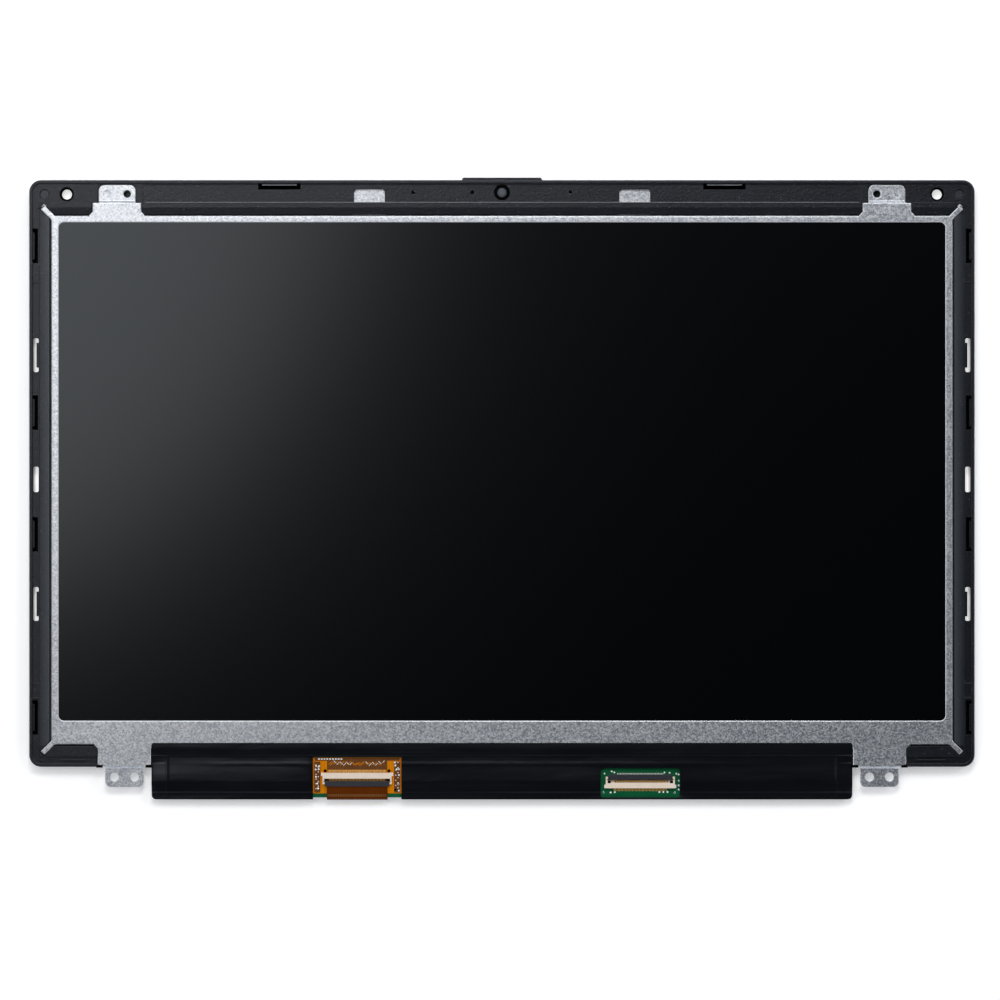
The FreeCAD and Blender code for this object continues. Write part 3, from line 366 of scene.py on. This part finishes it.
def round_plate(shape, centre, low, high, depth, sides):
    """Adds a round plate to a bmesh, with its radius at the bottom and at the top."""
    bmesh.ops.create_cone(shape, cap_ends=True, segments=sides, radius1=low * MM, radius2=high * MM,
                          depth=depth * MM, matrix=shifted(*centre))


def stud(shape, x, y, z, radius):
    """Adds a low round heap of solder to a bmesh."""
    round_plate(shape, (x, y, z + 0.06), radius, 0.4 * radius, 0.12, 14)


def flat_ring(shape, centre, radii):
    """Adds a thin flat ring to a bmesh."""
    rings = [bmesh.ops.create_circle(shape, segments=36, radius=r * MM, matrix=shifted(*centre))["verts"]
             for r in radii]
    edges = list(dict.fromkeys(e for ring in rings for v in ring for e in v.link_edges))
    made = bmesh.ops.bridge_loops(shape, edges=edges)["faces"]
    bmesh.ops.solidify(shape, geom=made, thickness=0.02 * MM)


def between(value, stations):
    """Height at a value, on straight runs between stations (value, height)."""
    for (start, low), (stop, high) in zip(stations, stations[1:]):
        if value <= stop:
            return low + (high - low) * (value - start) / (stop - start)
    return stations[-1][1]


def part_way(value, start, stop):
    """0 at the start, 1 at the stop, and no less or more outside."""
    return min(1.0, max(0.0, (value - start) / (stop - start)))


# Board film

BOARD_END = 118.9
BOARD_TOP = -94.83
FILM_UPPER = 3.6            # the film's front lies above this height
FILM_SAG = ((-111.0, -0.24), (-108.6, -0.2), (-107.9, -0.16), (-105.6, 0.0), (-95.2, 0.0), (-94.58, 0.07),
            (-92.78, -0.19), (-91.0, 0.0), (-90.0, 0.0))
SMOOTH_PASSES = 24
FOLD_Y = -97.6
CREASE = 0.25               # half width of the crease over the board's edge
ACROSS_CREASE = (-CREASE, 0.0, CREASE)


def film_rise(x, y):
    """How far the film's front lies above its smoothed form."""
    past_board = max(0.0, abs(x) - BOARD_END) * part_way(y, -93.5, -97.5)
    swell = noise.noise(Vector((x / 38, y / 7, 0.0))) * part_way(y, -91.8, -93.8)
    crease = max(1 - abs(abs(x) - BOARD_END) / CREASE if y < BOARD_TOP else 0.0,
                 1 - abs(y - BOARD_TOP) / CREASE if abs(x) < BOARD_END else 0.0, 0.0)
    fold = part_way(abs(x + 8), 105, 80) * (1 + math.cos(math.pi * min(1.0, abs(y - FOLD_Y) / 1.2))) / 2
    lift = part_way(x, -66, -78) * part_way(y, -98, -104.5) * part_way(y, -108.5, -105.5)
    rim = 0.14 if abs(x) > 124.2 and y < -93.5 else 0.0
    return 0.22 * swell + 0.06 - 0.05 * past_board + 0.09 * crease + 0.09 * fold + 0.1625 * lift - rim


def draped_film():
    """Board film with its folds eased into slopes, a little uneven, with the board's edge showing as a crease."""
    shape = merged_copy("board_film")
    slice_at(shape, 0, [-123.9 + 2.1 * i for i in range(119)])
    slice_at(shape, 1, [-109.9 + 0.7 * i for i in range(28)])
    slice_at(shape, 0, [side * BOARD_END + d for side in (-1, 1) for d in ACROSS_CREASE])
    slice_at(shape, 1, [BOARD_TOP + d for d in ACROSS_CREASE])
    slice_at(shape, 1, [FOLD_Y - 1.25 + 0.25 * i for i in range(11)])
    upper = [v for v in shape.verts if v.co.z > FILM_UPPER * MM]
    inner = [v for v in upper if all(e.other_vert(v).co.z > FILM_UPPER * MM for e in v.link_edges)]
    for v in upper:
        v.co.z += between(v.co.y / MM, FILM_SAG) * MM
    # The two upper corners are drawn in a little.
    for v in [v for v in upper if abs(v.co.x) > 124.3 * MM and v.co.y > -90.3 * MM]:
        v.co -= Vector((math.copysign(0.3, v.co.x), 0.3, 0.0)) * MM
    for i in range(SMOOTH_PASSES):
        bmesh.ops.smooth_vert(shape, verts=inner, factor=0.5, use_axis_z=True)
    for v in upper:
        v.co.z += film_rise(v.co.x / MM, v.co.y / MM) * MM
    piece = place_piece("draped_film", shape, film_skin)
    piece.data.shade_smooth()
    piece.data.set_sharp_from_angle(angle=math.radians(40))
    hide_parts("board_film")


# Touch flex and driver board

FLEX_X = -51.4
FLEX_Z = 3.35
TAIL_Z = 3.9                # top of the brown tail
BOARD_Z = 3.2
VIDEO_Z = 4.5               # top of the video socket's housing
TOUCH_Z = 4.65              # top of the touch socket's housing
FIELD = 0.02                # thickness of a laminated field or a dark mark
FLEX_FIELDS = (             # place and size of each laminated field
    (-65.55, -102.4, FLEX_Z, 2.2, 11.0), (-37.25, -102.4, FLEX_Z, 2.2, 11.0), (FLEX_X, -98.2, FLEX_Z, 21.4, 3.2),
    (FLEX_X, -96.05, FLEX_Z, 30.2, 1.1), (FLEX_X, -108.85, TAIL_Z, 20.8, 0.9),
)
FLEX_PADS = (
    (-66.06, -98.46), (-64.93, -98.53), (-66.2, -99.73), (-65.1, -99.6), (-66.06, -102.29), (-65.57, -104.67),
    (-65.25, -106.4), (-38.0, -97.2), (-37.86, -98.3), (-37.36, -99.6), (-36.58, -99.6), (-36.58, -101.65),
    (-36.76, -104.95), (-36.58, -107.2),
)
BOARD_PADS = (
    (38.6, -107.85), (40.1, -107.75), (55.9, -107.7), (57.3, -107.7), (58.8, -107.7), (36.05, -107.85),
    (61.35, -107.9), (62.77, -101.5), (62.77, -103.7), (62.77, -105.4), (62.77, -106.8), (36.4, -101.2),
    (38.96, -100.4), (39.9, -100.8), (57.7, -100.8), (59.5, -100.9), (62.0, -101.2),
)
PAD = 0.34                  # radius of a solder pad
SMALL_PAD = 0.22
CONTACT_ROW_Y = -103.88


def flex_artwork():
    """Laminated fields, solder pads, lands and bare copper strokes on the touch flex."""
    fields = bmesh.new()
    for x, y, z, width, depth in FLEX_FIELDS:
        slab(fields, (x, y, z + FIELD / 2), (width, depth, FIELD))
    place_piece("flex_fields", fields, laminate)
    bright = bmesh.new()
    for x, y in FLEX_PADS:
        stud(bright, x, y, FLEX_Z + FIELD, PAD)
    for i in range(11):
        step = 0.4 if i % 2 else -0.4
        stud(bright, -65.6 + step, -98.0 - i * 0.85, FLEX_Z + FIELD, SMALL_PAD)
        stud(bright, -37.3 - step, -97.2 - i * 0.9, FLEX_Z + FIELD, SMALL_PAD)
    for i in range(9):
        slab(bright, (-65.0 + i, -95.95, FLEX_Z + 0.03), (0.66, 0.5, 0.04))
    lands = bmesh.new()
    for i in range(30):
        slab(lands, (-61.4 + i * 0.69, -100.3, FLEX_Z + 0.02), (0.36, 0.6, 0.04))
    place_piece("flex_lands", lands, gold)
    copper = bmesh.new()
    for x in (-66.9, -35.9):
        slab(copper, (x, -101.78, BOARD_Z + 0.08), (0.5, 12.8, 0.15))
    for i in range(34):
        x = -61.0 + i * 0.57
        drift = noise.noise(Vector((i * 1.7, 0.3, 0.0)))
        crowded = min(abs(x + 56.6), abs(x + 44.4)) < 3.5
        slab(bright if crowded and i % 2 else copper, (x, -97.4 + 0.9 * drift, FLEX_Z + 0.03), (1.3, 0.2, 0.03),
             45 if i % 4 < 2 else -45)
    place_piece("flex_pads", bright, tin)
    place_piece("flex_strokes", copper, amber_flex)
    # Painted shade: black diamonds for the notches at the touch socket's upper corners and black fields on its
    # housing for the cavities at the ends of its lock; also two dark spots among the pads.
    dark = bmesh.new()
    for x in (-62.75, -40.1):
        slab(dark, (x, -100.15, FLEX_Z + 0.1), (0.95, 0.95, 0.2), 45)
    stud(dark, -37.86, -106.87, FLEX_Z + FIELD, 0.45)
    stud(dark, -36.76, -104.95, FLEX_Z + 0.08, SMALL_PAD)
    for x in (-62.55, -40.25):
        slab(dark, (x, -103.3, TOUCH_Z + FIELD / 2), (1.0, 0.8, FIELD))
    place_piece("flex_shade_and_dark_spots", dark, black_nylon_and_shade)


def board_artwork():
    """Solder pads and lands on the driver board, painted shade for its plated holes, the video socket's open
    contact row and the cavities at its ends, and the contacts' gold tips.
    """
    bright = bmesh.new()
    for x, y in BOARD_PADS:
        stud(bright, x, y, BOARD_Z, PAD)
    for i in range(33):
        slab(bright, (41.1 + i * 0.5, -101.2, BOARD_Z + 0.02), (0.24, 0.5, 0.04))
    place_piece("board_pads", bright, tin)
    # Painted shade: black spots in the plated holes, a black strip on the housing over the contact row for the
    # socket's mouth, and black fields for the cavities at its ends.
    dark = bmesh.new()
    for x, y in ((61.35, -107.9), (36.05, -107.85)):
        stud(dark, x, y, BOARD_Z + 0.06, 0.24)
    slab(dark, (49.55, CONTACT_ROW_Y, VIDEO_Z + FIELD / 2), (18.9, 0.7, FIELD))
    for x in (38.05, 60.15):
        slab(dark, (x, -104.0, VIDEO_Z + FIELD / 2), (1.1, 0.94, FIELD))
    place_piece("board_painted_shade", dark, black_nylon_and_shade)
    tips = bmesh.new()
    for i in range(33):
        slab(tips, (40.59 + i * 0.56, CONTACT_ROW_Y, VIDEO_Z + 0.03), (0.32, 0.5, 0.02))
    place_piece("contact_tips", tips, gold)


# Moulded frame

SCREW_X = 154.45
SCREW_Y = 104.475
SCREW_STEP_Z = 3.21
RECESS_X = 162.3
RECESS_Z = 3.72
LATCH_X = 79.0              # latches of the top deck
POCKET_Z = 0.85
SIDE_POCKETS_Y = (86.175, 27.0, -16.2, -81.175)


def port_meshes_and_shade():
    """Black discs in the microphones' sound ports and the indicator's window: dust meshes, which also serve as
    painted shade deep in these small holes.
    """
    shape = bmesh.new()
    for node in ("microphone_left", "microphone_right", "camera_indicator"):
        low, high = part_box(node)
        centre = (Vector(low) + Vector(high)) / 2 / MM
        stud(shape, centre.x, centre.y, 3.6, 0.5)
    place_piece("port_meshes_and_shade", shape, black_nylon_and_shade)


def painted_edge_highlights():
    """Painted highlights on the frame's edges: pale strips along the crest of the top rail and the lips that the
    latches snap under.
    """
    shape = bmesh.new()
    slab(shape, (0.0, 101.56, 4.93), (253.0, 0.2, 0.1))
    for side in (-1, 1):
        slab(shape, (side * LATCH_X, 107.83, 3.72), (12.3, 0.3, 0.04))
    place_piece("painted_edge_highlights", shape, crest_highlight_plastic)


def corner_rounds():
    """Painted shade and light in the upper corners: black rings on the steps in the screw holes, and paler floors
    of the round recesses beside them.
    """
    hole_shade = bmesh.new()
    recess_highlight = bmesh.new()
    for side in (-1, 1):
        # Painted shade: a black ring on the step in each screw hole.
        flat_ring(hole_shade, (side * SCREW_X, SCREW_Y, SCREW_STEP_Z), (1.74, 2.48))
        # Painted highlight: a paler disc on the floor of each round recess.
        round_plate(recess_highlight, (side * RECESS_X, SCREW_Y, RECESS_Z), 1.5, 1.5, 0.04, 32)
    bmesh.ops.recalc_face_normals(hole_shade, faces=hole_shade.faces)
    place_piece("hole_step_shade", hole_shade, black_nylon_and_shade)
    place_piece("recess_floor_highlight", recess_highlight, recess_highlight_plastic)


def tab_side_strips():
    """Black strips lying on the steel beside the lower tabs."""
    shape = bmesh.new()
    for x in (-142.8, -125.3, 125.3, 142.8):
        slab(shape, (x, -98.45, 4.66), (2.3, 1.0, 0.12))
    place_piece("tab_side_strips", shape, black_nylon_and_shade)


def pocket_shade_slabs():
    """Painted shade: black slabs on the floors of the latch pockets in the side channels and the top deck, where
    these deep pockets lie in shade.
    """
    shape = bmesh.new()
    for side in (-1, 1):
        for y in SIDE_POCKETS_Y:
            slab(shape, (side * 165.65, y, POCKET_Z), (1.8, 12.1, 0.06))
        slab(shape, (side * LATCH_X, 107.27, POCKET_Z), (14.9, 2.1, 0.06))
    place_piece("pocket_shade_slabs", shape, black_nylon_and_shade)


draped_film()
flex_artwork()
board_artwork()
port_meshes_and_shade()
painted_edge_highlights()
corner_rounds()
tab_side_strips()
pocket_shade_slabs()


# Floor, light and camera

def paper_sheet(name, paper, centre, width, depth, glow):
    # Matt white paper: it keeps the shadow, and shows white to the eye and in reflections.
    shape = bmesh.new()
    bmesh.ops.create_grid(shape, x_segments=1, y_segments=1, size=0.5,
                          matrix=Matrix.Diagonal((width, depth, 1.0, 1.0)))
    mesh = bpy.data.meshes.new(name)
    shape.to_mesh(mesh)
    shape.free()
    sheet = bpy.data.objects.new(name, mesh)
    sheet.location = Vector(centre) * MM
    bpy.context.scene.collection.objects.link(sheet)
    material, tree, shader, _ = finish(paper, Base_Color=linear("#fafafa"), Roughness=0.9,
                                       Emission_Color=linear("#ffffff"))
    path = add(tree, "LightPath").outputs
    seen = reckon(tree, "MAXIMUM", path["Is Camera Ray"], path["Is Glossy Ray"])
    seen = reckon(tree, "MAXIMUM", seen, path["Is Transmission Ray"])
    wire(tree, shader, Emission_Strength=reckon(tree, "MULTIPLY", seen, glow))
    mesh.materials.append(material)


def soft_lamp(name, place, size, power, tint):
    lamp = bpy.data.lights.new(name, "AREA")
    lamp.shape = "DISK"
    lamp.size = size
    lamp.energy = power
    lamp.color = linear(tint)[:3]
    holder = bpy.data.objects.new(name, lamp)
    holder.location = place
    holder.rotation_euler = (-Vector(place)).to_track_quat("-Z", "Y").to_euler()
    bpy.context.scene.collection.objects.link(holder)


def studio_world():
    """Pale walls round the table, under a dark ceiling."""
    world = bpy.data.worlds.new("studio")
    world.use_nodes = True
    tree = world.node_tree
    up = add(tree, "SeparateXYZ", {0: add(tree, "TexCoord").outputs["Generated"]}).outputs["Z"]
    sky = tree.nodes["Background"]
    sky.inputs["Color"].default_value = linear("#f2f7ff")
    wire(tree, sky, Strength=ramp(tree, up, 0.25, 0.8, 1.4, 0.03))
    bpy.context.scene.world = world


def photo_camera():
    """Looks straight down. A 354.8 mm square of the panel's plane fills the picture."""
    height, width, plane = 1.5, 0.3548, 0.0045
    data = bpy.data.cameras.new("camera")
    data.sensor_width = 36.0
    data.lens = data.sensor_width * (height - plane) / width
    data.clip_end = 50.0
    holder = bpy.data.objects.new("camera", data)
    holder.location = (-0.69 * MM, -4.0 * MM, height)
    bpy.context.scene.collection.objects.link(holder)
    bpy.context.scene.camera = holder


paper_sheet("floor", "white_paper", (0.0, 0.0, -0.04), 12.0, 12.0, 0.27)
# A sheet under the frame glows brighter than the floor, to the eye and in reflections only: a painted pool of light
# that shows white through the slots where the frame's shade falls.
paper_sheet("slot_glow_sheet", "slot_glow_paper", (0.0, 6.0, -0.02), 0.332, 0.204, 0.66)
soft_lamp("key", (-0.43, 0.25, 1.25), 0.68, 3.36, "#fffcf8")
soft_lamp("top", (0.0, 0.78, 1.2), 0.5, 6.86, "#ffffff")
soft_lamp("right", (1.0, 0.6, 0.9), 0.6, 3.36, "#ffffff")
studio_world()
photo_camera()
bpy.context.scene.view_settings.view_transform = "Standard"
